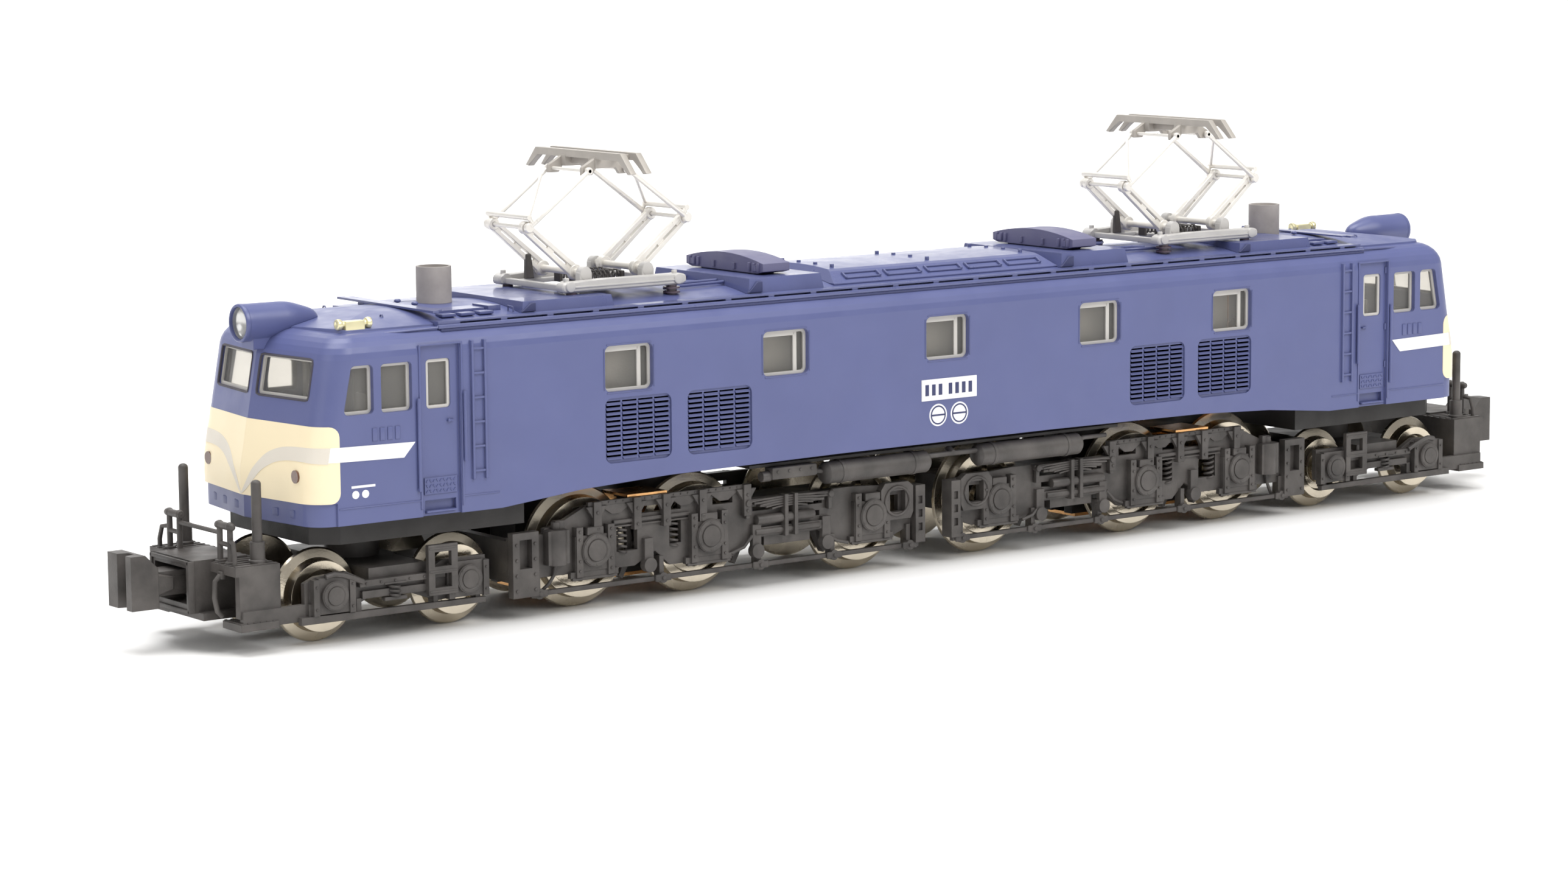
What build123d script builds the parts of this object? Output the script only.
"""Model electric locomotive, 1:220 scale on 6.5 mm gauge, wheel arrangement 2-C + C-2.

X runs along the locomotive (the front end is at -X), Y across it (the left side is at -Y),
Z up, with the wheel flanges standing on Z = 0. All lengths are millimetres.
"""
from build123d import *
import os
from math import asin, cos, degrees, pi, radians, sin, sqrt

os.makedirs("parts", exist_ok=True)

# ---- Driving dimensions -----------------------------------------------------------------
# Wheels and track
FLANGE_HEIGHT = 0.6
DRIVING_RADIUS = 2.84
LEADING_RADIUS = 1.955
BACK_TO_BACK = 5.9
WHEEL_WIDTH = 1.05
FLANGE_WIDTH = 0.38
DRIVING_AXLES = (24.3, 16.5, 4.8)
LEADING_AXLES = (41.0, 32.6)
DRIVING_Z = FLANGE_HEIGHT + DRIVING_RADIUS
LEADING_Z = FLANGE_HEIGHT + LEADING_RADIUS
DRIVING_AXLE_RADIUS = 0.5
LEADING_AXLE_RADIUS = 0.4
RUNNING_CLEARANCE = 0.03

# Body shell
HALF_WIDTH = 6.3
WALL = 0.7
RIDGE_X = 43.5
NOSE_SLOPE = 0.139
CORNER_RADIUS = 1.4
LEAN = 0.183
LEAN_FROM_Z = 9.3
SKIRT_Z = 6.6
SILL_Z = 7.45
SHOULDER_Z = 15.35
SHOULDER_DROP = 1.3
SHOULDER_INSET = 1.35
CROWN_Z = 17.3
CROWN_RADIUS = 23.8
CREAM_BOTTOM_Z = 7.83

# Windows and doors, the same on both sides and mirrored end for end
SIDE_WINDOW_X = (-22.6, -11.8, 0.0, 11.8, 22.6)
SIDE_WINDOW = (3.2, 2.55)
SIDE_WINDOW_Z = 13.58
CAB_WINDOW_Z = (12.4, 15.0)
CAB_WINDOW_X = (36.6, 38.5)
QUARTER_LIGHT = ((38.98, 12.42), (40.84, 12.42), (40.3, 15.02), (38.98, 15.02))
DOOR_X = (33.6, 36.05)
DOOR_Z = (6.6, 15.75)
DOOR_WINDOW_X = (34.1, 35.6)
DOOR_WINDOW_Z = (12.35, 15.0)
DOOR_RECESS = 0.2
LOUVRE_X = (-22.0, -16.45, 16.45, 22.0)
LOUVRE_Z = 10.15
LOUVRE_SIZE = (4.45, 3.6)
LOUVRE_DEPTH = 0.12
LADDER_X = (32.05, 32.85)
LADDER_Z = (8.35, 15.85)
WINDSCREEN_Y = (0.42, 4.85)
WINDSCREEN_Z = (13.2, 15.35)
TAIL_LIGHT = (4.67, 9.23)
TAIL_LIGHT_RADIUS = 0.37

# Roof equipment, set out about its own centre
ROOF_CENTRE = 1.1
PANTOGRAPH_OFFSET = 22.0
FUSE_BOX_OFFSET = 11.65
STACK_X = 31.2
STACK_RADIUS = 0.98
STACK_TOP = 19.3
WHISTLE = (39.2, 4.75)
HEADLIGHT_Z = 17.0
HEADLIGHT_RADIUS = 1.03
LENS_RADIUS = 0.86

# Drive line
SHAFT_RADIUS = 0.5
GEAR_MODULE = 0.2
AXLE_TEETH = 18
IDLER_TEETH = 21
WORM_WHEEL_TEETH = 15
WORM_RADIUS = 0.9
WORM_WHEEL_Z = DRIVING_Z + GEAR_MODULE * (AXLE_TEETH + WORM_WHEEL_TEETH) / 2
SHAFT_Z = WORM_WHEEL_Z + GEAR_MODULE * WORM_WHEEL_TEETH / 2 + WORM_RADIUS + 0.16
IDLER_X = DRIVING_AXLES[1] + GEAR_MODULE * (AXLE_TEETH + IDLER_TEETH) / 2
MOTOR_RADIUS = 3.2
MOTOR_LENGTH = 12.0

# Pivots
BOGIE_PIVOT_X = DRIVING_AXLES[1]
TRUCK_PIVOT_X = 36.8
COUPLER_PIVOT_X = 46.0
COLLAR_RADIUS = 2.0

# Pantograph linkage: base shaft, knee and head pivots, each on both sides of the middle
BASE_SHAFT_OFFSET = 2.1
BASE_SHAFT_Z = 18.55
LOWER_ARM = 4.2
LOWER_ARM_ANGLE = 39.3
HEAD_PIVOT_OFFSET = 1.3
UPPER_ARM = LOWER_ARM + BASE_SHAFT_OFFSET - HEAD_PIVOT_OFFSET
KNEE_X = BASE_SHAFT_OFFSET + LOWER_ARM * cos(radians(LOWER_ARM_ANGLE))
KNEE_Z = BASE_SHAFT_Z + LOWER_ARM * sin(radians(LOWER_ARM_ANGLE))
HEAD_PIVOT_Z = KNEE_Z + sqrt(UPPER_ARM**2 - (KNEE_X - HEAD_PIVOT_OFFSET) ** 2)
ARM_Y = 1.65
UPPER_ARM_Y = 2.05
PIN_RADIUS = 0.15


# ---- Helpers ----------------------------------------------------------------------------
def save(piece, label):
    """Name a finished piece and write it as its own STEP file."""
    piece.part.label = label
    export_step(piece.part, f"parts/{label}.step")


def block(x0, x1, y0, y1, z0, z1, mode=Mode.ADD):
    """Box between two corners."""
    with Locations(((x0 + x1) / 2, (y0 + y1) / 2, (z0 + z1) / 2)):
        Box(abs(x1 - x0), abs(y1 - y0), abs(z1 - z0), mode=mode)


def both_sides(x0, x1, y0, y1, z0, z1, mode=Mode.ADD):
    """The same box on the left and the right side."""
    block(x0, x1, y0, y1, z0, z1, mode)
    block(x0, x1, -y0, -y1, z0, z1, mode)


def rod_x(x0, x1, y, z, radius, mode=Mode.ADD):
    """Round bar along X."""
    with Locations(((x0 + x1) / 2, y, z)):
        Cylinder(radius, abs(x1 - x0), rotation=(0, 90, 0), mode=mode)


def rod_y(x, y0, y1, z, radius, mode=Mode.ADD):
    """Round bar along Y."""
    with Locations((x, (y0 + y1) / 2, z)):
        Cylinder(radius, abs(y1 - y0), rotation=(90, 0, 0), mode=mode)


def rod_z(x, y, z0, z1, radius, mode=Mode.ADD):
    """Round bar along Z."""
    with Locations((x, y, (z0 + z1) / 2)):
        Cylinder(radius, abs(z1 - z0), mode=mode)


def side_polygon(points, y0, y1, mode=Mode.ADD):
    """Plate of the given XZ outline between two Y planes."""
    with BuildSketch(Plane.XZ.offset(-y0)) as plate:
        with BuildLine():
            Polyline(*points, close=True)
        make_face()
    extrude(plate.sketch, amount=y0 - y1, mode=mode)


def turned_end(piece):
    """The same piece turned round for the other end of the locomotive."""
    with BuildPart() as other:
        add(piece.part, rotation=(0, 0, 180))
    return other


# ---- Body envelope ----------------------------------------------------------------------
def plan_outline(z, inset):
    """Plan of the body at height z: straight sides and a shallow V at each end."""
    ridge = RIDGE_X - inset - LEAN * max(0.0, z - LEAN_FROM_Z)
    half = HALF_WIDTH - inset
    corner = ridge - NOSE_SLOPE * half
    with BuildSketch(Plane.XY.offset(z)) as outline:
        with BuildLine():
            Polyline(
                (ridge, 0), (corner, half), (-corner, half),
                (-ridge, 0), (-corner, -half), (corner, -half), close=True,
            )
        make_face()
        corners = outline.vertices().filter_by(lambda v: abs(v.Y) > half / 2)
        fillet(corners, CORNER_RADIUS - inset / 2)
    return outline.sketch


def body_envelope(inset, base_z, steps=6):
    """Solid that the body fills, shrunk by inset on every side."""
    levels = [plan_outline(base_z, inset), plan_outline(LEAN_FROM_Z, inset)]
    levels.append(plan_outline(SHOULDER_Z - inset / 2, inset))
    for step in range(1, steps + 1):
        angle = radians(84 * step / steps)
        z = SHOULDER_Z - inset / 2 + SHOULDER_DROP * sin(angle)
        levels.append(plan_outline(z, inset + SHOULDER_INSET * (1 - cos(angle))))
    top = SHOULDER_Z - inset / 2 + SHOULDER_DROP * sin(radians(84))
    levels.append(plan_outline(top + 1.0, inset + SHOULDER_INSET * (1 - cos(radians(84))) + 0.2))
    crown = CROWN_Z - inset
    with BuildPart() as envelope:
        loft(levels, ruled=True)
        with BuildSketch(Plane.YZ):
            with BuildLine():
                edge = HALF_WIDTH + 1
                eave = crown - CROWN_RADIUS + sqrt(CROWN_RADIUS**2 - edge**2)
                Polyline((-edge, eave), (-edge, base_z - 1), (edge, base_z - 1), (edge, eave))
                ThreePointArc((-edge, eave), (0, crown), (edge, eave))
            make_face()
        extrude(amount=RIDGE_X + 1, both=True, mode=Mode.INTERSECT)
        with BuildSketch(Plane.XZ):
            with BuildLine():
                far = RIDGE_X + 1
                Polyline((-35, crown), (-35, crown + 0.1), (35, crown + 0.1), (35, crown))
                ThreePointArc((35, crown), (39.4, crown - 0.33), (far, crown - 1.5))
                Polyline((far, crown - 1.5), (far, base_z - 1), (-far, base_z - 1), (-far, crown - 1.5))
                ThreePointArc((-far, crown - 1.5), (-39.4, crown - 0.33), (-35, crown))
            make_face()
        extrude(amount=HALF_WIDTH + 1, both=True, mode=Mode.INTERSECT)
    return envelope.part


def window_prisms(grow=0.0, through=8.0):
    """Prisms through both side walls in the outline of every side opening."""
    with BuildPart() as prisms:
        with BuildSketch(Plane.XZ):
            with Locations(*[(x, SIDE_WINDOW_Z) for x in SIDE_WINDOW_X]):
                RectangleRounded(SIDE_WINDOW[0] + 2 * grow, SIDE_WINDOW[1] + 2 * grow, 0.34 + grow)
            for end in (-1, 1):
                for (x0, x1), (z0, z1) in ((CAB_WINDOW_X, CAB_WINDOW_Z), (DOOR_WINDOW_X, DOOR_WINDOW_Z)):
                    with Locations((end * (x0 + x1) / 2, (z0 + z1) / 2)):
                        RectangleRounded(x1 - x0 + 2 * grow, z1 - z0 + 2 * grow, 0.22 + grow)
                with BuildSketch(mode=Mode.PRIVATE) as quarter_light:
                    with BuildLine():
                        Polyline(*[(end * x, z) for x, z in QUARTER_LIGHT], close=True)
                    make_face()
                    if grow:
                        offset(amount=grow, kind=Kind.INTERSECTION)
                    fillet(quarter_light.vertices(), 0.26 + grow)
                add(quarter_light.sketch)
        extrude(amount=through, both=True)
    return prisms.part


def windscreen_prisms(grow=0.0):
    """Prisms along X in the outline of the four windscreens."""
    with BuildPart() as prisms:
        with BuildSketch(Plane.YZ.offset(RIDGE_X - 3.5)):
            for side in (-1, 1):
                with Locations((side * sum(WINDSCREEN_Y) / 2, sum(WINDSCREEN_Z) / 2)):
                    RectangleRounded(
                        WINDSCREEN_Y[1] - WINDSCREEN_Y[0] + 2 * grow,
                        WINDSCREEN_Z[1] - WINDSCREEN_Z[0] + 2 * grow,
                        0.25 + grow,
                    )
        extrude(amount=5)
        mirror(about=Plane.YZ)
    return prisms.part


outer_envelope = body_envelope(0.0, SKIRT_Z)
inner_envelope = body_envelope(WALL, SKIRT_Z - 0.5)
side_openings = window_prisms()
windscreen_openings = windscreen_prisms()

# ---- Body shell -------------------------------------------------------------------------
with BuildPart() as body_shell:
    add(outer_envelope)
    # the skirt below the front panel stands a little back
    with BuildPart(mode=Mode.PRIVATE) as skirt_step:
        add(body_envelope(-0.2, SKIRT_Z - 0.2))
        add(body_envelope(0.12, SKIRT_Z - 0.4), mode=Mode.SUBTRACT)
        block(-50, 50, -8, 8, CREAM_BOTTOM_Z, 20, Mode.SUBTRACT)
        block(-41.3, 41.3, -8, 8, 0, 20, Mode.SUBTRACT)
    add(skirt_step.part, mode=Mode.SUBTRACT)
    for end in (-1, 1):
        # door leaf, kicking plate and step recess
        both_sides(end * DOOR_X[0], end * DOOR_X[1], HALF_WIDTH - DOOR_RECESS, 7, *DOOR_Z, Mode.SUBTRACT)
        both_sides(end * 33.85, end * 35.8, HALF_WIDTH - 0.45, 7, 6.75, 7.42, Mode.SUBTRACT)
        both_sides(end * 33.8, end * 35.85, 6.0, HALF_WIDTH - 0.12, 7.75, 8.65)
        # ladder between the door and the first louvre
        for stile in LADDER_X:
            both_sides(end * stile - 0.07, end * stile + 0.07, 6.1, 6.45, *LADDER_Z)
        for rung in range(6):
            rung_z = LADDER_Z[0] + 0.45 + rung * (LADDER_Z[1] - LADDER_Z[0] - 0.9) / 5
            both_sides(end * LADDER_X[0], end * LADDER_X[1], 6.1, 6.42, rung_z - 0.06, rung_z + 0.06)
        # grab rails on both sides of the door
        for rail_x, rail_z0, rail_z1 in ((33.38, 9.4, 13.2), (36.27, 8.0, 13.0)):
            for side in (-1, 1):
                rod_z(end * rail_x, side * 6.42, rail_z0, rail_z1, 0.09)
                for foot_z in (rail_z0 + 0.1, rail_z1 - 0.1):
                    rod_y(end * rail_x, side * 6.1, side * 6.42, foot_z, 0.09)
    # louvre panels, sunk into the sides
    with BuildSketch(Plane.XZ.offset(HALF_WIDTH)):
        with Locations(*[(x, LOUVRE_Z) for x in LOUVRE_X]):
            RectangleRounded(*LOUVRE_SIZE, 0.45)
    extrude(amount=-LOUVRE_DEPTH, mode=Mode.SUBTRACT)
    with BuildSketch(Plane.XZ.offset(-HALF_WIDTH)):
        with Locations(*[(x, LOUVRE_Z) for x in LOUVRE_X]):
            RectangleRounded(*LOUVRE_SIZE, 0.45)
    extrude(amount=LOUVRE_DEPTH, mode=Mode.SUBTRACT)
    add(side_openings, mode=Mode.SUBTRACT)
    add(windscreen_openings, mode=Mode.SUBTRACT)
    add(inner_envelope, mode=Mode.SUBTRACT)
    # lower edge, higher between the cabs
    with BuildSketch(Plane.XZ):
        with BuildLine():
            Polyline(
                (-31, SKIRT_Z - 1), (-31, SKIRT_Z), (-25.8, 7.1), (-20, 7.35), (-8, SILL_Z),
                (8, SILL_Z), (20, 7.35), (25.8, 7.1), (31, SKIRT_Z), (31, SKIRT_Z - 1), close=True,
            )
        make_face()
    extrude(amount=8, both=True, mode=Mode.SUBTRACT)
    for end in (-1, 1):
        # sockets for the tail lights and the hole for the headlight guide
        for side in (-1, 1):
            rod_x(end * 41.5, end * 43.5, side * TAIL_LIGHT[0], TAIL_LIGHT[1], TAIL_LIGHT_RADIUS, Mode.SUBTRACT)
        rod_z(end * 40.4, 0, 15, HEADLIGHT_Z, 0.52, Mode.SUBTRACT)
        rod_x(end * 39.86, end * 44, 0, HEADLIGHT_Z, 0.52, Mode.SUBTRACT)
save(body_shell, "body_shell")

# ---- Glazing and window frames ----------------------------------------------------------
with BuildPart() as side_glazing:
    both_sides(-25.2, 25.2, 5.2, HALF_WIDTH - WALL, 12.0, 14.97)
    with BuildSketch(Plane.XZ):
        with Locations(*[(x, SIDE_WINDOW_Z) for x in SIDE_WINDOW_X]):
            RectangleRounded(*SIDE_WINDOW, 0.34)
    extrude(amount=HALF_WIDTH - 0.4, both=True)
    block(-26, 26, -5.2, 5.2, 11, 16, Mode.SUBTRACT)
save(side_glazing, "side_glazing")

with BuildPart() as cab_glazing:
    add(window_prisms())
    block(-50, 50, -5.6, 5.6, 10, 17, Mode.SUBTRACT)
    block(-33.8, 33.8, -9, 9, 10, 17, Mode.SUBTRACT)
    both_sides(-50, 50, 5.9, 9, 10, 17, Mode.SUBTRACT)
    with BuildPart(mode=Mode.PRIVATE) as windscreens:
        add(body_envelope(0.3, SKIRT_Z))
        add(body_envelope(0.6, SKIRT_Z - 0.5), mode=Mode.SUBTRACT)
        add(windscreen_openings, mode=Mode.INTERSECT)
    add(windscreens.part)
save(cab_glazing, "cab_glazing")

with BuildPart() as window_frames:
    add(window_prisms())
    add(window_prisms(grow=-0.17, through=9), mode=Mode.SUBTRACT)
    block(-50, 50, -5.9, 5.9, 10, 17, Mode.SUBTRACT)
    both_sides(-50, 50, 6.02, 9, 10, 17, Mode.SUBTRACT)
    with BuildPart(mode=Mode.PRIVATE) as windscreen_frames:
        add(body_envelope(0.18, SKIRT_Z))
        add(body_envelope(0.3, SKIRT_Z - 0.5), mode=Mode.SUBTRACT)
        add(windscreen_openings, mode=Mode.INTERSECT)
        add(windscreen_prisms(grow=-0.17), mode=Mode.SUBTRACT)
    add(windscreen_frames.part)
save(window_frames, "window_frames")

with BuildPart() as tail_lights:
    for end in (-1, 1):
        for side in (-1, 1):
            rod_x(end * 41.95, end * 42.93, side * TAIL_LIGHT[0], TAIL_LIGHT[1], TAIL_LIGHT_RADIUS - 0.02)
save(tail_lights, "tail_lights")

# ---- Headlights -------------------------------------------------------------------------
with BuildPart() as headlight_housings:
    with BuildSketch(Plane.XZ):
        with BuildLine():
            Polyline((-43.45, HEADLIGHT_Z), (-43.45, HEADLIGHT_Z + HEADLIGHT_RADIUS - 0.08))
            RadiusArc(
                (-43.45, HEADLIGHT_Z + HEADLIGHT_RADIUS - 0.08),
                (-43.35, HEADLIGHT_Z + HEADLIGHT_RADIUS), 0.1,
            )
            Line((-43.35, HEADLIGHT_Z + HEADLIGHT_RADIUS), (-40.9, HEADLIGHT_Z + HEADLIGHT_RADIUS - 0.02))
            Spline(
                (-40.9, HEADLIGHT_Z + HEADLIGHT_RADIUS - 0.02),
                (-39.5, HEADLIGHT_Z + 0.7), (-38.6, HEADLIGHT_Z),
                tangents=[(1, 0), (0.25, -1)],
            )
            Line((-38.6, HEADLIGHT_Z), (-43.45, HEADLIGHT_Z))
        make_face()
    revolve(axis=Axis((0, 0, HEADLIGHT_Z), (1, 0, 0)))
    # pedestal that blends the lamp into the roof
    block(-42.9, -40.2, -0.62, 0.62, 15.6, HEADLIGHT_Z)
    rod_x(-44, -42.6, 0, HEADLIGHT_Z, LENS_RADIUS + 0.02, Mode.SUBTRACT)
    rod_x(-43, -39.86, 0, HEADLIGHT_Z, 0.52, Mode.SUBTRACT)
    rod_z(-40.4, 0, 15, HEADLIGHT_Z, 0.52, Mode.SUBTRACT)
    add(outer_envelope, mode=Mode.SUBTRACT)
    mirror(about=Plane.YZ)
save(headlight_housings, "headlight_housings")

with BuildPart() as light_guides:
    rod_x(-43.3, -42.6, 0, HEADLIGHT_Z, LENS_RADIUS)
    rod_x(-42.6, -39.9, 0, HEADLIGHT_Z, 0.5)
    rod_z(-40.4, 0, 15.97, HEADLIGHT_Z, 0.5)
    mirror(about=Plane.YZ)
save(light_guides, "light_guides")

# ---- Roof equipment ---------------------------------------------------------------------
MONITOR_X = (-6.8, 10.1)
MONITOR_TOP_Z = 17.85
with BuildPart() as roof_monitor:
    # raised cover with sloping sides between the pantographs
    with BuildSketch(Plane.YZ.offset(MONITOR_X[0])):
        with BuildLine():
            Polyline((-4.3, 16.6), (-4.3, 17.0), (-3.2, 17.62), (-2.9, 17.72))
            ThreePointArc((-2.9, 17.72), (0, MONITOR_TOP_Z), (2.9, 17.72))
            Polyline((2.9, 17.72), (3.2, 17.62), (4.3, 17.0), (4.3, 16.6), (-4.3, 16.6))
        make_face()
    extrude(amount=MONITOR_X[1] - MONITOR_X[0])
    for end_x, slope in ((MONITOR_X[0], 1), (MONITOR_X[1], -1)):
        side_polygon(
            [(end_x - slope * 0.1, 16.9), (end_x + slope * 1.0, 18.2), (end_x - slope * 0.1, 18.2)],
            -5, 5, Mode.SUBTRACT,
        )
    # low platforms under the fuse boxes and the pantographs
    for end in (-1, 1):
        platforms = ((ROOF_CENTRE + end * FUSE_BOX_OFFSET, 5.5, 17.75), (ROOF_CENTRE + end * 26.6, 6.2, 17.5))
        for middle, length, top_z in platforms:
            with BuildSketch(Plane.XY.offset(16.5)):
                with Locations((middle, 0)):
                    Rectangle(length, 9.6)
            extrude(amount=top_z - 16.5, taper=10)
    # low vent boxes beside the stacks
    for end in (-1, 1):
        both_sides(end * 29.2, end * 30.0, 2.0, 3.6, 16.5, 17.3)
        both_sides(end * 30.2, end * 33.2, 2.1, 3.5, 16.5, 17.22)
    add(outer_envelope, mode=Mode.SUBTRACT)
save(roof_monitor, "roof_monitor")

with BuildPart() as roof_walkways:
    # running boards along both eaves, and cross boards near the cabs
    both_sides(-34.4, 34.4, 4.62, 5.5, 16.2, 16.9)
    for end in (-1, 1):
        block(end * 34.4, end * 33.6, -4.62, 4.62, 16.5, 17.42)
    with BuildPart(mode=Mode.PRIVATE) as under_board:
        block(-35, 35, -4.7, 4.7, 16, 17.33)
        for pos in range(-33, 34, 3):
            block(pos, pos + 2.6, -5.6, 5.6, 16, 16.8)
    add(under_board.part, mode=Mode.SUBTRACT)
    add(outer_envelope, mode=Mode.SUBTRACT)
    for solid_x in (-34.2, 34.2):
        block(solid_x - 0.2, solid_x + 0.2, -5.0, 5.0, 17.3, 17.42)
    add(roof_monitor.part, mode=Mode.SUBTRACT)
save(roof_walkways, "roof_walkways")

with BuildPart() as fuse_boxes:
    for end in (-1, 1):
        middle = ROOF_CENTRE + end * FUSE_BOX_OFFSET
        with BuildSketch(Plane.YZ.offset(middle - 0.95)):
            with BuildLine():
                Polyline((-3.75, 18.4), (-3.75, 17.95), (-3.2, 17.82), (3.2, 17.82), (3.75, 17.95), (3.75, 18.4))
                ThreePointArc((3.75, 18.4), (0, 18.85), (-3.75, 18.4))
            make_face()
        extrude(amount=1.9)
        for across in (-3.1, -1.0, 1.0, 3.1):
            block(middle - 1.05, middle + 1.05, across - 0.12, across + 0.12, 17.95, 18.3)
        block(middle - 0.7, middle + 0.7, -2.6, 2.6, 17.75, 17.82)
save(fuse_boxes, "fuse_boxes")

with BuildPart() as exhaust_stacks:
    for end in (-1, 1):
        rod_z(end * STACK_X, 0, 17.0, STACK_TOP, STACK_RADIUS)
        rod_z(end * STACK_X, 0, STACK_TOP - 0.25, STACK_TOP, STACK_RADIUS - 0.14, Mode.SUBTRACT)
    add(outer_envelope, mode=Mode.SUBTRACT)
    add(roof_monitor.part, mode=Mode.SUBTRACT)
save(exhaust_stacks, "exhaust_stacks")

with BuildPart() as whistles:
    # one whistle on opposite corners of the roof
    for end in (-1, 1):
        x, y = end * WHISTLE[0], end * WHISTLE[1]
        block(x - 0.6, x + 0.6, y - 0.28, y + 0.28, 16.2, 17.3)
        for bell in (-1, 1):
            rod_x(x + bell * 0.6, x + bell * 0.95, y, 17.1, 0.18)
            rod_x(x + bell * 0.78, x + bell * 1.05, y, 17.1, 0.3)
    add(outer_envelope, mode=Mode.SUBTRACT)
save(whistles, "whistles")

# ---- Chassis, motor and lighting --------------------------------------------------------
with BuildPart() as chassis_block:
    with BuildSketch(Plane.XZ):
        with BuildLine():
            Polyline(
                (-40.2, 7.2), (-40.2, 9.2), (-31.5, 9.2), (-30.0, 13.8), (-25.0, 15.2), (25.0, 15.2),
                (30.0, 13.8), (31.5, 9.2), (40.2, 9.2), (40.2, 7.2), close=True,
            )
        make_face()
    extrude(amount=4.6, both=True)
    # room for the motor, the flywheels, the worms and the gear towers
    rod_x(-MOTOR_LENGTH / 2 - 0.3, MOTOR_LENGTH / 2 + 0.3, 0, SHAFT_Z, MOTOR_RADIUS + 0.02, Mode.SUBTRACT)
    rod_x(-20, 20, 0, SHAFT_Z, SHAFT_RADIUS + RUNNING_CLEARANCE, Mode.SUBTRACT)
    for end in (-1, 1):
        rod_x(end * 7.6, end * 12.4, 0, SHAFT_Z, 2.75, Mode.SUBTRACT)
        block(end * 14.0, end * 19.0, -1.5, 1.5, 7, 10.7, Mode.SUBTRACT)
        rod_z(end * BOGIE_PIVOT_X, 0, 7, 8.45, COLLAR_RADIUS + 0.05, Mode.SUBTRACT)
        rod_z(end * TRUCK_PIVOT_X, 0, 7, 8.6, 0.85, Mode.SUBTRACT)
        rod_y(end * 27.5, -5, 5, 11.0, 0.5, Mode.SUBTRACT)
    # insulating gap between the two halves
    block(-45, 45, -0.12, 0.12, 5, 17, Mode.SUBTRACT)

for half, keep_side in (("left", -1), ("right", 1)):
    with BuildPart() as chassis_half:
        add(chassis_block.part)
        block(-45, 45, 0, -keep_side * 6, 5, 17, Mode.SUBTRACT)
    save(chassis_half, f"chassis_{half}")

with BuildPart() as chassis_screws:
    for end in (-1, 1):
        rod_y(end * 27.5, -4.6, 4.6, 11.0, 0.48)
        rod_y(end * 27.5, -5.05, -4.6, 11.0, 0.9)
        block(end * 27.5 - 0.6, end * 27.5 + 0.6, -5.1, -4.9, 10.9, 11.1, Mode.SUBTRACT)
        rod_y(end * 27.5, 4.6, 5.0, 11.0, 0.85)
save(chassis_screws, "chassis_screws")

with BuildPart() as motor_case:
    rod_x(-MOTOR_LENGTH / 2, MOTOR_LENGTH / 2, 0, SHAFT_Z, MOTOR_RADIUS)
    rod_x(-MOTOR_LENGTH / 2 + 0.5, MOTOR_LENGTH / 2 - 0.5, 0, SHAFT_Z, MOTOR_RADIUS - 0.3, Mode.SUBTRACT)
    rod_x(-7, 7, 0, SHAFT_Z, SHAFT_RADIUS + RUNNING_CLEARANCE, Mode.SUBTRACT)
save(motor_case, "motor_case")

with BuildPart() as motor_magnets:
    rod_x(-4.2, 3.8, 0, SHAFT_Z, MOTOR_RADIUS - 0.3)
    rod_x(-5, 5, 0, SHAFT_Z, 2.35, Mode.SUBTRACT)
    both_sides(-5, 5, 1.9, 4, SHAFT_Z - 0.5, SHAFT_Z + 0.5, Mode.SUBTRACT)
save(motor_magnets, "motor_magnets")

with BuildPart() as rotor_shaft:
    rod_x(-19.8, 19.8, 0, SHAFT_Z, SHAFT_RADIUS)
save(rotor_shaft, "rotor_shaft")

with BuildPart() as armature:
    rod_x(-3.6, 3.2, 0, SHAFT_Z, 2.2)
    for slot in range(5):
        angle = radians(72 * slot)
        with Locations((-0.2, 1.75 * cos(angle), SHAFT_Z + 1.75 * sin(angle))):
            Box(7, 1.1, 0.3, rotation=(degrees(angle), 0, 0), mode=Mode.SUBTRACT)
    rod_x(3.2, 4.8, 0, SHAFT_Z, 0.95)
    rod_x(-6, 6, 0, SHAFT_Z, SHAFT_RADIUS, Mode.SUBTRACT)
save(armature, "armature")

with BuildPart() as worms:
    # threaded sleeves and flywheels pressed on the shaft
    for end in (-1, 1):
        middle = end * BOGIE_PIVOT_X
        rod_x(middle - 1.9, middle + 1.9, 0, SHAFT_Z, WORM_RADIUS - 0.18)
        pitch = pi * GEAR_MODULE
        for turn in range(-2, 3):
            with Locations((middle + turn * pitch, 0, SHAFT_Z)):
                Cylinder(WORM_RADIUS - 0.05, pitch * 0.45, rotation=(0, 90, 0))
        rod_x(end * 7.9, end * 12.1, 0, SHAFT_Z, 2.6)
    rod_x(-20, 20, 0, SHAFT_Z, SHAFT_RADIUS, Mode.SUBTRACT)
save(worms, "worms_and_flywheels")

with BuildPart() as circuit_board:
    block(-33.0, 33.0, -3.2, 3.2, 15.2, 15.45)
    for end in (-1, 1):
        block(end * 33.0, end * 41.0, -1.2, 1.2, 15.2, 15.45)
        block(end * 40.8, end * 40.0, -0.4, 0.4, 15.45, 15.9)
        for part_x in (6.0, 12.5, 18.0):
            block(end * part_x, end * (part_x + 1.6), 0.6, 1.5, 15.45, 15.8)
            block(end * part_x, end * (part_x + 1.0), -1.9, -1.4, 15.45, 15.7)
save(circuit_board, "circuit_board")

with BuildPart() as pickup_strips:
    # sprung copper strips that lead the current from the bogies up to the board
    for end in (-1, 1):
        both_sides(end * 20.6, end * 24.6, 2.2, 4.6, 7.08, 7.2)
        both_sides(end * 23.6, end * 24.4, 4.6, 4.72, 7.08, 15.2)
        both_sides(end * 23.6, end * 24.4, 2.9, 4.72, 15.2, 15.32)
    both_sides(-24.4, 24.4, 2.9, 3.2, 15.2, 15.45, Mode.SUBTRACT)
save(pickup_strips, "pickup_strips")

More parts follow.
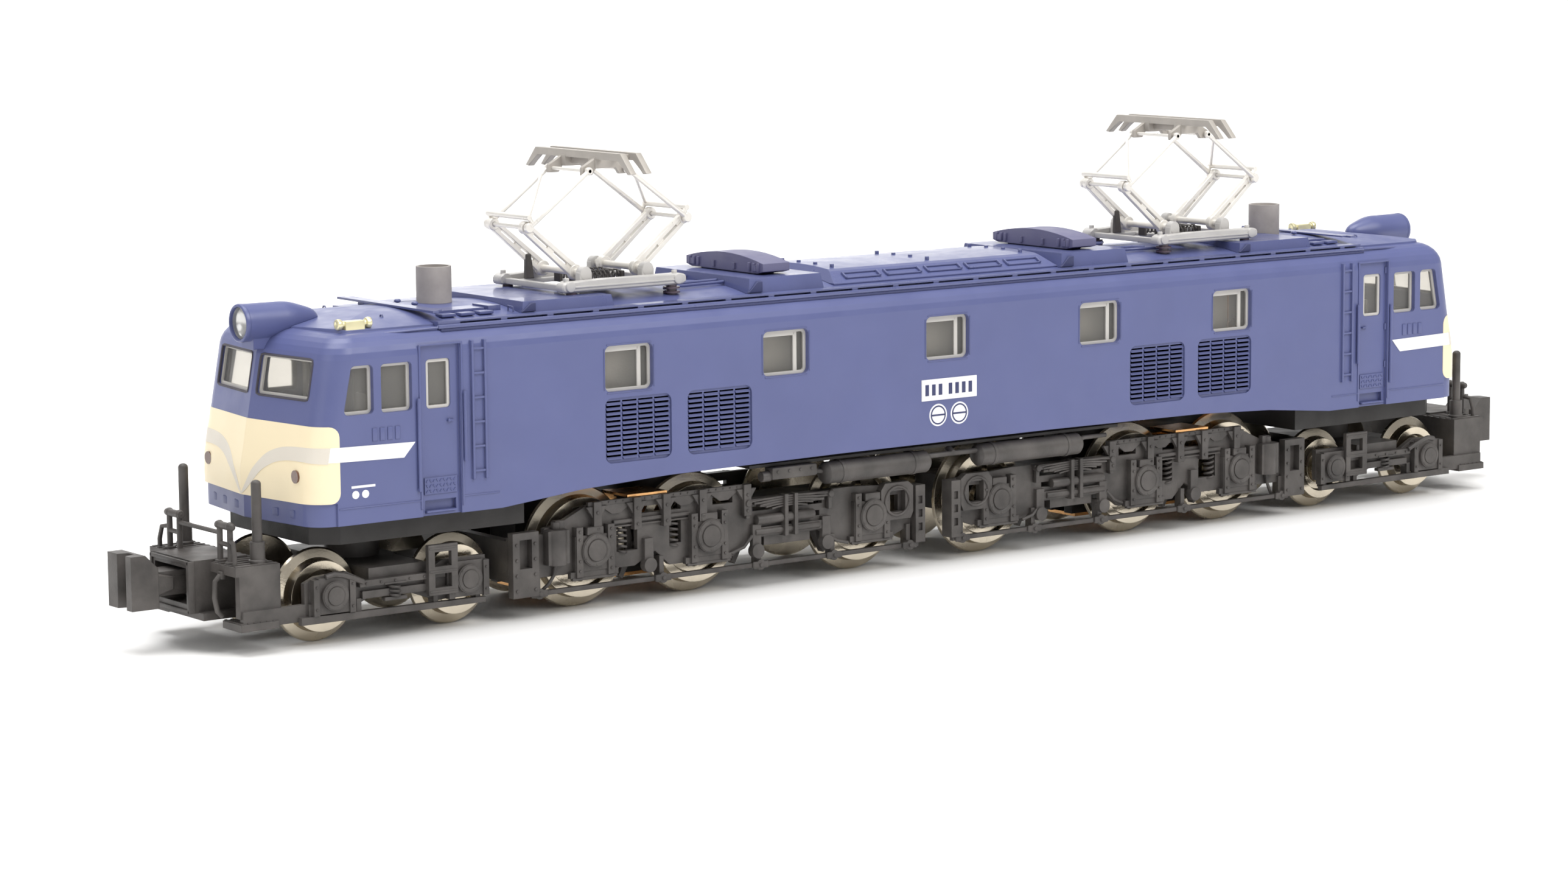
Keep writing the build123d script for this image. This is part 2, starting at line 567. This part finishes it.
# ---- Underframe -------------------------------------------------------------------------
with BuildPart() as underframe:
    for end in (-1, 1):
        # cab floor with its apron, and the plate over the bogie ends
        with BuildSketch(Plane.XY.offset(5.45)):
            with BuildLine():
                Polyline(
                    (end * 29.0, -5.3), (end * 40.6, -5.3), (end * 41.9, -4.2), (end * 41.9, 4.2),
                    (end * 40.6, 5.3), (end * 29.0, 5.3), close=True,
                )
            make_face()
        extrude(amount=1.75)
        rod_z(end * TRUCK_PIVOT_X, 0, 5, 8, 0.85, Mode.SUBTRACT)
    # side plates between the bogies, joined beyond the flywheels
    block(-13.9, 13.9, -5.55, 5.55, 7.02, 7.2)
    block(-12.7, 12.7, -3.6, 3.6, 6.5, 7.5, Mode.SUBTRACT)
save(underframe, "underframe")

TANK_Y = 5.55
TANK_Z = 6.3
TANK_RADIUS = 0.65
with BuildPart() as air_tanks:
    for side in (-1, 1):
        for tank_x0, tank_x1 in ((-8.8, -0.9), (2.55, 10.85)):
            rod_x(tank_x0 + 0.25, tank_x1 - 0.25, side * TANK_Y, TANK_Z, TANK_RADIUS)
            for cap_x0, cap_x1 in ((tank_x0, tank_x0 + 0.25), (tank_x1 - 0.25, tank_x1)):
                rod_x(cap_x0, cap_x1, side * TANK_Y, TANK_Z, TANK_RADIUS - 0.14)
            for band_x in (tank_x0 + 1.3, tank_x1 - 1.3):
                rod_x(band_x - 0.15, band_x + 0.15, side * TANK_Y, TANK_Z, TANK_RADIUS + 0.05)
                block(band_x - 0.15, band_x + 0.15, side * 5.0, side * 5.5, 6.5, 7.02)
        rod_x(-0.95, 2.6, side * 5.7, 6.6, 0.17)
        block(-12.9, -9.4, side * 5.1, side * 6.05, 6.1, 7.0)
        rod_x(-13.2, -9.1, side * 5.6, 6.5, 0.3)
        rod_x(10.8, 13.0, side * 5.5, 6.6, 0.17)
save(air_tanks, "air_tanks")


# ---- Wheels and gears -------------------------------------------------------------------
def wheel_profile(radius, axle_radius, side):
    """Half section of one wheel in the YZ plane, about the axle's line."""
    back = BACK_TO_BACK / 2
    face = back + WHEEL_WIDTH
    hub = axle_radius + 0.45
    rim = radius - 0.5
    return [(side * y, z) for y, z in (
        (back, 0), (back, radius + FLANGE_HEIGHT - 0.12), (back + 0.12, radius + FLANGE_HEIGHT),
        (back + FLANGE_WIDTH - 0.12, radius + FLANGE_HEIGHT - 0.08), (back + FLANGE_WIDTH, radius + 0.05),
        (face, radius - 0.04), (face, rim), (face - 0.3, rim - 0.1), (face - 0.3, hub + 0.1),
        (face, hub), (face + 0.02, 0),
    )]


def gear_outline(teeth, phase):
    """Spur gear outline with straight-flanked teeth; a tooth stands at phase, in degrees."""
    pitch_radius = GEAR_MODULE * teeth / 2
    root = pitch_radius - GEAR_MODULE
    tip = pitch_radius + 0.7 * GEAR_MODULE
    points = []
    for tooth in range(teeth):
        middle = radians(phase + 360 * tooth / teeth)
        pitch = 2 * pi / teeth
        for offset_part, radius in ((-0.3, root), (-0.1, tip), (0.1, tip), (0.3, root)):
            angle = middle + offset_part * pitch
            points.append((radius * cos(angle), radius * sin(angle)))
    return points


def add_gear(x, z, teeth, phase, width, bore):
    """Toothed disc on a cross axle."""
    with BuildSketch(Plane((x, width / 2, z), x_dir=(1, 0, 0), z_dir=(0, -1, 0))) as disc:
        with BuildLine():
            Polyline(*gear_outline(teeth, phase), close=True)
        make_face()
        Circle(bore, mode=Mode.SUBTRACT)
    extrude(disc.sketch, amount=width)


def wheelset(x, z, radius, axle_radius, gear_phase=None):
    """Axle with two pressed-on wheels, and a gear on the driven ones."""
    half_axle = 4.45
    with BuildPart() as turned_set:
        rod_y(x, -half_axle, half_axle, z, axle_radius)
        for side in (-1, 1):
            with BuildSketch(Plane((x, 0, z), x_dir=(0, 1, 0), z_dir=(1, 0, 0))) as section:
                with BuildLine():
                    Polyline(*wheel_profile(radius, axle_radius, side), close=True)
                make_face()
            revolve(section.sketch, axis=Axis((x, 0, z), (0, 1, 0)))
            if radius > 2.5:
                # spoke openings of the driving wheels
                for spoke in range(8):
                    angle = radians(45 * spoke)
                    reach = 1.62
                    rod_y(
                        x + reach * cos(angle), side * (BACK_TO_BACK / 2 + 0.5), side * 5,
                        z + reach * sin(angle), 0.34, Mode.SUBTRACT,
                    )
        if gear_phase is not None:
            add_gear(x, z, AXLE_TEETH, gear_phase, 0.9, axle_radius - 0.05)
    return turned_set


for label, end in (("front", -1), ("rear", 1)):
    for number, axle_x in enumerate(DRIVING_AXLES, start=1):
        gear_phase = {1: 0, 2: 10}.get(number)
        driving = wheelset(end * axle_x, DRIVING_Z, DRIVING_RADIUS, DRIVING_AXLE_RADIUS, gear_phase)
        save(driving, f"driving_wheelset_{label}_{number}")
    for number, axle_x in enumerate(LEADING_AXLES, start=1):
        leading = wheelset(end * axle_x, LEADING_Z, LEADING_RADIUS, LEADING_AXLE_RADIUS)
        save(leading, f"leading_wheelset_{label}_{number}")
    with BuildPart() as idler:
        rod_y(end * IDLER_X, -1.05, 1.05, DRIVING_Z, 0.4)
        add_gear(end * IDLER_X, DRIVING_Z, IDLER_TEETH, 90 + 90 * end, 0.9, 0.35)
    save(idler, f"idler_gear_{label}")
    with BuildPart() as worm_wheel:
        rod_y(end * BOGIE_PIVOT_X, -1.05, 1.05, WORM_WHEEL_Z, 0.4)
        add_gear(end * BOGIE_PIVOT_X, WORM_WHEEL_Z, WORM_WHEEL_TEETH, -78, 0.9, 0.35)
    save(worm_wheel, f"worm_wheel_{label}")


# ---- Main bogies ------------------------------------------------------------------------
FRAME_IN = 4.5
FRAME_OUT = 4.85
BOX_OUT = 5.4


def side_ring(points, hole, y0, y1):
    """Frame part with an opening."""
    side_polygon(points, y0, y1)
    side_polygon(hole, y0 - 0.01, y1 + 0.01, Mode.SUBTRACT)


with BuildPart() as front_bogie_frame:
    # main side plate with its upper beam and lower brake rod
    side_polygon(
        [(-27.4, 2.2), (-27.4, 4.9), (-26.6, 5.0), (-24.6, 5.9), (-14.2, 5.9), (-13.5, 5.2),
         (-6.0, 5.2), (-1.4, 4.9), (-1.4, 2.6), (-3.0, 2.0), (-7.0, 2.0), (-8.4, 2.9),
         (-13.4, 2.9), (-14.6, 2.0), (-19.0, 2.0), (-20.0, 2.9), (-21.4, 2.2)],
        FRAME_IN, FRAME_OUT,
    )
    # openings in the plate
    for x0, x1, z0, z1 in (
        (-22.6, -21.2, 3.1, 4.5), (-19.0, -18.2, 3.2, 4.6), (-13.2, -8.2, 4.45, 4.7),
        (-12.6, -8.4, 3.75, 4.05), (-21.6, -18.2, 5.1, 5.5), (-16.0, -14.6, 5.1, 5.5),
        (-3.6, -2.6, 3.2, 4.4),
    ):
        block(x0, x1, FRAME_IN - 0.1, FRAME_OUT + 0.1, z0, z1, Mode.SUBTRACT)
    # stretchers between the two side plates
    block(-29.7, -29.1, 0, FRAME_OUT, 2.1, 4.4)
    block(-29.7, -27.2, FRAME_IN, FRAME_OUT, 2.2, 4.6)
    block(-12.4, -9.1, 1.3, FRAME_OUT, 2.4, 4.2)
    # axle boxes with their horn guides and covers
    for axle_x, half_box in ((-DRIVING_AXLES[0], 1.3), (-DRIVING_AXLES[1], 1.25), (-DRIVING_AXLES[2], 1.3)):
        block(axle_x - half_box, axle_x + half_box, FRAME_OUT, BOX_OUT - 0.2, 2.3, 4.3)
        rod_y(axle_x, FRAME_OUT, BOX_OUT, DRIVING_Z, 0.95)
        rod_y(axle_x, BOX_OUT, BOX_OUT + 0.08, DRIVING_Z, 0.6)
        for guide in (-1, 1):
            block(axle_x + guide * 1.05 - 0.22, axle_x + guide * 1.05 + 0.22, FRAME_OUT, BOX_OUT - 0.1, 2.0, 4.8)
        block(axle_x - 1.6, axle_x + 1.6, FRAME_OUT, BOX_OUT - 0.25, 1.95, 2.3)
    # hanger columns and inclined struts below the upper beam
    for column_x in (-24.1, -21.4, -19.4, -16.9, -13.8):
        block(column_x - 0.25, column_x + 0.25, FRAME_OUT, BOX_OUT - 0.15, 4.3, 6.1)
    block(-24.6, -13.6, FRAME_OUT, BOX_OUT - 0.35, 5.85, 6.1)
    for strut_x in (-22.7, -18.0, -15.3):
        side_polygon(
            [(strut_x - 1.1, 5.85), (strut_x + 1.1, 5.85), (strut_x + 0.3, 5.3), (strut_x - 0.3, 5.3)],
            FRAME_OUT, BOX_OUT - 0.4,
        )
    # leaf springs between the second and third axle, in their stirrups
    for leaf, (half_leaf, leaf_z) in enumerate(((3.0, 5.05), (2.7, 4.87), (2.3, 4.69))):
        block(-10.6 - half_leaf, -10.6 + half_leaf, FRAME_OUT, BOX_OUT - 0.2, leaf_z, leaf_z + 0.14)
    block(-13.2, -8.0, FRAME_OUT, BOX_OUT - 0.3, 3.0, 3.5)
    for stirrup_x in (-11.15, -10.45):
        block(stirrup_x - 0.12, stirrup_x + 0.12, FRAME_OUT, BOX_OUT, 2.9, 5.3)
    # sand boxes, filler loop and end brackets
    block(-27.5, -26.1, FRAME_OUT, BOX_OUT, 2.9, 4.8)
    block(-26.9, -26.3, FRAME_OUT, BOX_OUT - 0.2, 4.8, 5.3)
    side_ring(
        [(-29.8, 1.3), (-28.1, 1.3), (-28.1, 4.9), (-29.8, 4.9)],
        [(-29.35, 2.9), (-28.55, 2.9), (-28.55, 4.5), (-29.35, 4.5)], FRAME_OUT, BOX_OUT - 0.05,
    )
    side_ring(
        [(-4.0, 3.0), (-2.0, 3.0), (-1.8, 3.4), (-1.8, 4.9), (-2.2, 5.2), (-3.9, 5.2), (-4.2, 4.8), (-4.2, 3.3)],
        [(-3.55, 3.45), (-2.4, 3.45), (-2.4, 4.7), (-3.55, 4.7)], FRAME_OUT, BOX_OUT - 0.1,
    )
    block(-1.7, -1.0, FRAME_IN, BOX_OUT, 1.5, 4.9)
    for notch_z in (2.2, 3.0, 3.8):
        block(-1.5, -1.2, BOX_OUT - 0.15, BOX_OUT + 0.1, notch_z, notch_z + 0.45, Mode.SUBTRACT)
    # lower brake rod with its links, and the brake hangers
    block(-28.6, -1.3, FRAME_OUT, FRAME_OUT + 0.3, 1.25, 1.5)
    for link_x in (-28.0, -19.7, -12.9, -7.6, -2.0):
        rod_y(link_x, FRAME_OUT, BOX_OUT - 0.15, 1.38, 0.3)
        block(link_x - 0.15, link_x + 0.15, FRAME_IN, FRAME_OUT + 0.2, 1.38, 2.6)
    for hanger_x in (-20.6, -13.1, -8.1):
        block(hanger_x - 0.3, hanger_x + 0.3, FRAME_OUT, BOX_OUT - 0.25, 1.9, 3.7)
        rod_y(hanger_x, FRAME_OUT, BOX_OUT - 0.1, 2.2, 0.42)
    mirror(about=Plane.XZ)
save(front_bogie_frame, "bogie_frame_front")
save(turned_end(front_bogie_frame), "bogie_frame_rear")

GEARBOX_HALF = 1.3
CAVITY_HALF = 0.6
with BuildPart() as front_gearbox:
    block(-27.0, -13.9, -GEARBOX_HALF, GEARBOX_HALF, 1.15, 6.0)
    block(-13.9, -3.6, -GEARBOX_HALF, GEARBOX_HALF, 2.4, 4.5)
    rod_z(-BOGIE_PIVOT_X, 0, 5.9, 8.0, COLLAR_RADIUS)
    rod_z(-BOGIE_PIVOT_X, 0, 5.9, 6.95, COLLAR_RADIUS + 0.6)
    for gear_x, gear_z, gear_radius in (
        (-DRIVING_AXLES[0], DRIVING_Z, 2.0), (-IDLER_X, DRIVING_Z, 2.3),
        (-DRIVING_AXLES[1], DRIVING_Z, 2.0), (-BOGIE_PIVOT_X, WORM_WHEEL_Z, 1.72),
    ):
        rod_y(gear_x, -CAVITY_HALF, CAVITY_HALF, gear_z, gear_radius, Mode.SUBTRACT)
    block(-27.5, -13.0, -CAVITY_HALF, CAVITY_HALF, 0, DRIVING_Z - 1.0, Mode.SUBTRACT)
    block(-BOGIE_PIVOT_X - 1.72, -BOGIE_PIVOT_X + 1.72, -CAVITY_HALF, CAVITY_HALF, WORM_WHEEL_Z, 9, Mode.SUBTRACT)
    for axle_x in DRIVING_AXLES:
        rod_y(-axle_x, -3, 3, DRIVING_Z, DRIVING_AXLE_RADIUS + RUNNING_CLEARANCE, Mode.SUBTRACT)
    for pin_x, pin_z in ((-IDLER_X, DRIVING_Z), (-BOGIE_PIVOT_X, WORM_WHEEL_Z)):
        rod_y(pin_x, -1.1, 1.1, pin_z, 0.4 + RUNNING_CLEARANCE, Mode.SUBTRACT)
save(front_gearbox, "bogie_gearbox_front")
save(turned_end(front_gearbox), "bogie_gearbox_rear")

with BuildPart() as front_pickup:
    # keeper plate with the wheel-back wipers
    block(-26.6, -14.2, -1.25, 1.25, 0.95, 1.15)
    for axle_x in DRIVING_AXLES[:2]:
        both_sides(-axle_x - 0.35, -axle_x + 0.35, 1.25, 2.9, 1.0, 1.1)
    both_sides(-21.9, -19.2, 2.6, 4.95, 6.12, 6.26)
    both_sides(-21.9, -21.2, 1.3, 2.6, 5.5, 5.62)
    both_sides(-21.9, -21.2, 2.5, 2.62, 5.5, 6.26)
    for side in (-1, 1):
        rod_y(-20.55, side * 1.3, side * 1.42, 4.9, 0.2)
    both_sides(-21.9, -20.2, 1.3, 1.42, 4.7, 5.62)
save(front_pickup, "bogie_pickup_front")
save(turned_end(front_pickup), "bogie_pickup_rear")

# ---- Leading trucks ---------------------------------------------------------------------
with BuildPart() as front_truck:
    # side plates
    side_polygon(
        [(-42.6, 2.0), (-42.6, 3.5), (-41.9, 3.8), (-40.0, 3.9), (-38.8, 3.3), (-35.2, 3.3),
         (-34.0, 3.9), (-31.3, 3.9), (-31.3, 2.0), (-34.4, 1.7), (-36.0, 2.3), (-38.8, 2.3), (-40.2, 1.7)],
        FRAME_IN, FRAME_OUT,
    )
    for axle_x in LEADING_AXLES:
        rod_y(-axle_x, FRAME_IN - 0.2, FRAME_IN + 0.2, LEADING_Z, LEADING_AXLE_RADIUS + 0.1, Mode.SUBTRACT)
        block(-axle_x - 0.95, -axle_x + 0.95, FRAME_OUT, BOX_OUT - 0.2, 1.8, 3.75)
        rod_y(-axle_x, FRAME_OUT, BOX_OUT, LEADING_Z + 0.2, 0.8)
        rod_y(-axle_x, BOX_OUT, BOX_OUT + 0.08, LEADING_Z + 0.2, 0.5)
        for guide in (-1, 1):
            block(-axle_x + guide * 1.1 - 0.18, -axle_x + guide * 1.1 + 0.18, FRAME_OUT, BOX_OUT - 0.1, 1.75, 3.7)
    # equalising beam and the lower tie bar
    block(-39.4, -34.0, FRAME_OUT, BOX_OUT - 0.2, 3.0, 3.35)
    block(-39.2, -35.2, FRAME_OUT, BOX_OUT - 0.3, 2.35, 2.75)
    side_polygon([(-43.0, 1.35), (-31.5, 1.35), (-31.5, 1.65), (-43.0, 1.75)], FRAME_OUT, FRAME_OUT + 0.35)
    for tie_x in (-42.3, -39.4, -34.6, -31.9):
        block(tie_x - 0.15, tie_x + 0.15, FRAME_IN, FRAME_OUT + 0.2, 1.5, 2.4)
    # upright step bracket between the axles
    side_ring(
        [(-35.25, 2.1), (-33.4, 2.1), (-33.4, 4.85), (-35.25, 4.85)],
        [(-34.85, 3.65), (-33.8, 3.65), (-33.8, 4.45), (-34.85, 4.45)], BOX_OUT - 0.25, BOX_OUT + 0.05,
    )
    block(-34.85, -33.8, BOX_OUT - 0.3, BOX_OUT + 0.1, 2.5, 3.25, Mode.SUBTRACT)
    block(-35.25, -34.9, FRAME_OUT, BOX_OUT, 2.4, 3.0)
    mirror(about=Plane.XZ)
    # centre plate, pivot pin and the frame forward to the deck
    block(-38.6, -35.0, -FRAME_OUT + 0.1, FRAME_OUT - 0.1, 3.05, 3.9)
    rod_z(-TRUCK_PIVOT_X, 0, 3.9, 5.35, 1.5)
    rod_z(-TRUCK_PIVOT_X, 0, 5.35, 8.4, 0.8)
    block(-38.9, -34.7, -1.25, 1.25, 1.9, 3.9)
    for axle_x in LEADING_AXLES:
        block(-axle_x - 1.1, -axle_x + 1.1, -1.25, 1.25, 1.7, 3.5)
        rod_y(-axle_x, -2, 2, LEADING_Z, LEADING_AXLE_RADIUS + RUNNING_CLEARANCE, Mode.SUBTRACT)
    block(-39.95, -38.85, -1.25, 1.25, 1.9, 3.2)
    block(-34.75, -33.65, -1.25, 1.25, 1.9, 3.2)
    block(-44.0, -42.05, -1.25, 1.25, 1.9, 3.2)
    # deck with its steps
    block(-46.6, -43.95, -4.7, 4.7, 4.25, 4.75)
    block(-44.5, -43.95, -4.7, 4.7, 1.9, 4.3)
    both_sides(-46.4, -43.95, 4.25, 4.7, 2.0, 4.3)
    both_sides(-46.5, -44.2, 3.0, 4.95, 1.35, 1.75)
    both_sides(-46.3, -42.4, 4.5, 4.85, 1.5, 2.4)
    block(-47.4, -43.9, -2.6, 2.6, 1.75, 2.15)
    # coupler pocket
    block(-47.9, -44.4, -2.05, 2.05, 2.1, 4.9)
    block(-48.5, -45.0, -1.7, 1.7, 2.6, 4.5, Mode.SUBTRACT)
    rod_z(-COUPLER_PIVOT_X, 0, 2.5, 4.6, 0.4)
    # long uprights and the low hand rails
    for side in (-1, 1):
        rod_z(-44.85, side * 3.95, 4.7, 9.0, 0.27)
        rod_z(-44.85, side * 3.95, 4.7, 5.9, 0.4)
        for post_y in (2.2, 3.3):
            rod_z(-46.1, side * post_y, 4.7, 6.7, 0.16)
        rod_y(-46.1, side * 1.98, side * 3.5, 6.72, 0.2)
        rod_y(-46.1, side * 2.2, side * 3.3, 5.75, 0.13)
    rod_y(-46.1, -2.2, 2.2, 6.3, 0.12)
save(front_truck, "leading_truck_front")
save(turned_end(front_truck), "leading_truck_rear")

with BuildPart() as front_coupler:
    # shank on its pin and the claw head
    rod_z(-COUPLER_PIVOT_X, 0, 2.75, 4.35, 0.95)
    block(-49.4, -46.4, -0.75, 0.75, 3.0, 4.3)
    with BuildSketch(Plane.XY.offset(2.45)):
        with BuildLine():
            Polyline(
                (-49.3, -1.3), (-49.3, 1.3), (-50.9, 1.3), (-50.9, 0.25), (-50.3, 0.1),
                (-50.3, -0.55), (-50.9, -0.7), (-50.9, -1.3), close=True,
            )
        make_face()
    extrude(amount=2.9)
    side_polygon([(-49.3, 4.6), (-49.3, 5.5), (-50.2, 5.5)], -1.5, 1.5, Mode.SUBTRACT)
    rod_z(-COUPLER_PIVOT_X, 0, 2, 5, 0.4 + RUNNING_CLEARANCE, Mode.SUBTRACT)
save(front_coupler, "coupler_front")
save(turned_end(front_coupler), "coupler_rear")

# ---- Pantographs ------------------------------------------------------------------------
with BuildPart() as pantograph_bases:
    for end in (-1, 1):
        centre = ROOF_CENTRE + end * PANTOGRAPH_OFFSET
        for side in (-1, 1):
            # side beam, open channel with rounded ends
            with BuildSketch(Plane.XY.offset(17.6)):
                with Locations((centre, side * 3.2)):
                    SlotOverall(8.5, 0.85)
            extrude(amount=0.62)
            block(centre - 3.4, centre + 3.4, side * 3.0, side * 3.4, 18.05, 18.3, Mode.SUBTRACT)
            # bearing blocks for the two main shafts
            for shaft in (-1, 1):
                with Locations((centre + shaft * BASE_SHAFT_OFFSET, side * 2.55, 18.25)):
                    Box(0.9, 0.5, 1.3)
        for cross_x in (-3.6, 3.6):
            block(centre + cross_x - 0.25, centre + cross_x + 0.25, -3.2, 3.2, 17.65, 18.0)
        block(centre - 1.0, centre + 1.0, -3.2, 3.2, 17.62, 17.85)
        block(centre - 2.7, centre + 2.7, -2.75, -2.3, 17.62, 17.9)
        block(centre - 2.7, centre + 2.7, 2.3, 2.75, 17.62, 17.9)
        for shaft in (-1, 1):
            rod_y(
                centre + shaft * BASE_SHAFT_OFFSET, -4, 4, BASE_SHAFT_Z,
                PIN_RADIUS + 0.07 + RUNNING_CLEARANCE, Mode.SUBTRACT,
            )
save(pantograph_bases, "pantograph_bases")

with BuildPart() as pantograph_insulators:
    for end in (-1, 1):
        centre = ROOF_CENTRE + end * PANTOGRAPH_OFFSET
        for foot_x in (-3.4, 3.4):
            for side in (-1, 1):
                rod_z(centre + foot_x, side * 3.2, 16.6, 17.6, 0.3)
                for skirt_z in (17.15, 17.4):
                    rod_z(centre + foot_x, side * 3.2, skirt_z, skirt_z + 0.1, 0.48)
    add(outer_envelope, mode=Mode.SUBTRACT)
    add(roof_monitor.part, mode=Mode.SUBTRACT)
save(pantograph_insulators, "pantograph_insulators")


def bar_between(start, finish, width, depth):
    """Flat bar between two points given as (x, y, z)."""
    line = Vector(*finish) - Vector(*start)
    plane = Plane(start, x_dir=(0, 1, 0), z_dir=line)
    with BuildSketch(plane) as section:
        Rectangle(width, depth)
    extrude(section.sketch, amount=line.length)


def lower_frame(centre, arm):
    """Pair of lower arms on one base shaft, out to the knee; arm is -1 or 1."""
    shaft_x = centre + arm * BASE_SHAFT_OFFSET
    knee_x = centre + arm * KNEE_X
    with BuildPart() as frame:
        rod_y(shaft_x, -2.8, 2.8, BASE_SHAFT_Z, PIN_RADIUS + 0.07)
        for side in (-1, 1):
            rod_y(shaft_x, side * 1.4, side * 1.88, BASE_SHAFT_Z, 0.42)
            bar_between(
                (shaft_x, side * ARM_Y, BASE_SHAFT_Z), (knee_x, side * ARM_Y, KNEE_Z), 0.34, 0.5,
            )
            rod_y(knee_x, side * 1.47, side * 1.83, KNEE_Z, 0.36)
            rod_y(knee_x, side * 1.2, side * 2.4, KNEE_Z, PIN_RADIUS + RUNNING_CLEARANCE, Mode.SUBTRACT)
    return frame


LUG_REACH = 0.35
LUG_RISE = 0.45


def upper_frame(centre, arm):
    """Triangulated upper frame from the knee to the head; arm is -1 or 1."""
    knee_x = centre + arm * KNEE_X
    head_x = centre + arm * HEAD_PIVOT_OFFSET
    with BuildPart() as frame:
        rod_y(knee_x, -2.2, 2.2, KNEE_Z, PIN_RADIUS)
        for side in (-1, 1):
            bar_between(
                (knee_x, side * UPPER_ARM_Y, KNEE_Z), (head_x, side * UPPER_ARM_Y, HEAD_PIVOT_Z), 0.26, 0.3,
            )
            rod_y(knee_x, side * 1.9, side * 2.2, KNEE_Z, 0.3)
        # cross tube on short lugs above the knee, clear of the lower arms when folded
        lug_x = knee_x + (head_x - knee_x) * LUG_REACH / UPPER_ARM
        lug_z = KNEE_Z + (HEAD_PIVOT_Z - KNEE_Z) * LUG_REACH / UPPER_ARM
        tube_x = lug_x + arm * (HEAD_PIVOT_Z - KNEE_Z) * LUG_RISE / UPPER_ARM
        tube_z = lug_z + abs(head_x - knee_x) * LUG_RISE / UPPER_ARM
        for side in (-1, 1):
            bar_between((lug_x, side * UPPER_ARM_Y, lug_z), (tube_x, side * UPPER_ARM_Y, tube_z), 0.24, 0.3)
        rod_y(tube_x, -UPPER_ARM_Y - 0.1, UPPER_ARM_Y + 0.1, tube_z, 0.16)
        brace_x = head_x + arm * 0.5
        brace_z = HEAD_PIVOT_Z - 0.5 * (HEAD_PIVOT_Z - KNEE_Z) / abs(head_x - knee_x)
        bar_between(
            (tube_x, arm * UPPER_ARM_Y, tube_z), (brace_x, -arm * UPPER_ARM_Y, brace_z), 0.2, 0.2,
        )
        rod_y(head_x, -2.2, 2.2, HEAD_PIVOT_Z, PIN_RADIUS)
    return frame


HEAD_TOP_Z = HEAD_PIVOT_Z + 1.05
HEAD_BEND_Y = 4.3
HORN_DROP = 1.12


def collector_head(centre):
    """Contact shoes on their carrier, which hangs on the first upper frame's pin."""
    with BuildPart() as head:
        for strip_x in (-0.55, 0.55):
            block(
                centre + strip_x - 0.17, centre + strip_x + 0.17, -HEAD_BEND_Y, HEAD_BEND_Y,
                HEAD_TOP_Z - 0.3, HEAD_TOP_Z,
            )
            for side in (-1, 1):
                bar_between(
                    (centre + strip_x, side * (HEAD_BEND_Y - 0.1), HEAD_TOP_Z - 0.15),
                    (centre + strip_x, side * (HEAD_BEND_Y + 1.0), HEAD_TOP_Z - HORN_DROP), 0.3, 0.3,
                )
        for side in (-1, 1):
            block(centre - 0.7, centre + 0.7, side * 1.9, side * 2.15, HEAD_TOP_Z - 0.85, HEAD_TOP_Z - 0.3)
            block(centre - 0.7, centre + 0.7, side * 3.4, side * 3.6, HEAD_TOP_Z - 0.3, HEAD_TOP_Z - 0.1)
            # hangers down to the two pins, bored on the first and slotted on the second
            for pin in (-1, 1):
                side_hanger = [
                    (centre + pin * (HEAD_PIVOT_OFFSET + 0.3), HEAD_PIVOT_Z - 0.32),
                    (centre + pin * (HEAD_PIVOT_OFFSET + 0.3), HEAD_PIVOT_Z + 0.25),
                    (centre + pin * 0.4, HEAD_TOP_Z - 0.35),
                    (centre + pin * 0.4, HEAD_TOP_Z - 0.85),
                    (centre + pin * (HEAD_PIVOT_OFFSET - 0.35), HEAD_PIVOT_Z - 0.32),
                ]
                side_polygon(side_hanger, side * 1.5, side * 1.7)
                block(centre - 0.7, centre + 0.7, side * 1.5, side * 2.15, HEAD_TOP_Z - 0.6, HEAD_TOP_Z - 0.4)
    return head


def head_holes(centre, head):
    """Bore for the carrying pin and the wide slot for the loose one."""
    with BuildPart() as bored:
        add(head.part)
        rod_y(centre - HEAD_PIVOT_OFFSET, -1.85, 1.85, HEAD_PIVOT_Z, PIN_RADIUS + RUNNING_CLEARANCE, Mode.SUBTRACT)
        rod_y(centre + HEAD_PIVOT_OFFSET, -1.85, 1.85, HEAD_PIVOT_Z, PIN_RADIUS + 0.1, Mode.SUBTRACT)
    return bored


for label, end in (("front", -1), ("rear", 1)):
    centre = ROOF_CENTRE + end * PANTOGRAPH_OFFSET
    for arm_label, arm in (("a", -1), ("b", 1)):
        save(lower_frame(centre, arm), f"pantograph_{label}_lower_{arm_label}")
        save(upper_frame(centre, arm), f"pantograph_{label}_upper_{arm_label}")
    save(head_holes(centre, collector_head(centre)), f"pantograph_{label}_head")
